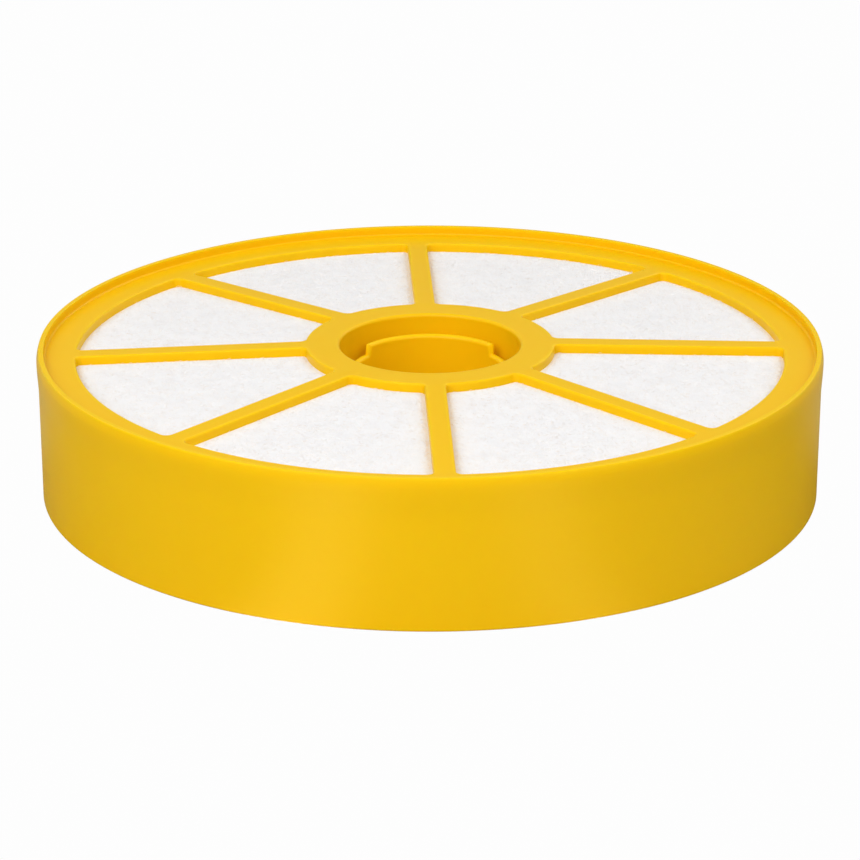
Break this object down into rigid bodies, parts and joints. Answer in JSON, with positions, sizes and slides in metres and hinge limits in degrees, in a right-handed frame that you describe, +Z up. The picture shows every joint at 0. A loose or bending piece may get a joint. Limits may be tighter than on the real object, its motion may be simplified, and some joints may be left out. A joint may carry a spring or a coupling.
{
  "type": "pleated cartridge filter",
  "caption": "Round flat filter in a spoked plastic shell: fleece over pleated paper, sealed round a central bore with an inner collar.",
  "frame": {"origin": "on the filter's axis, in the plane that the shell's foot stands on", "axes": "+Z up the axis, out of the spoked face; +Y towards the spoke behind the collar's tongue; +X to its right"},
  "size_m": [0.1858, 0.1858, 0.0358],
  "materials": {
    "shell_plastic": "satin moulded yellow",
    "fleece": "off-white non-woven fibre",
    "filter_paper": "matt glass-fibre filter paper",
    "hot_melt": "milky hot-melt glue",
    "sealant": "matt foamed sealant"
  },
  "bodies": {
    "root": {"shell": "shell_plastic", "base_grille": "shell_plastic", "fleece_pad": "fleece", "pleated_paper": "filter_paper", "upper_spacer_beads": "hot_melt", "lower_spacer_beads": "hot_melt", "rim_sealant": "sealant", "hub_sealant": "sealant"}
  },
  "joints": []
}
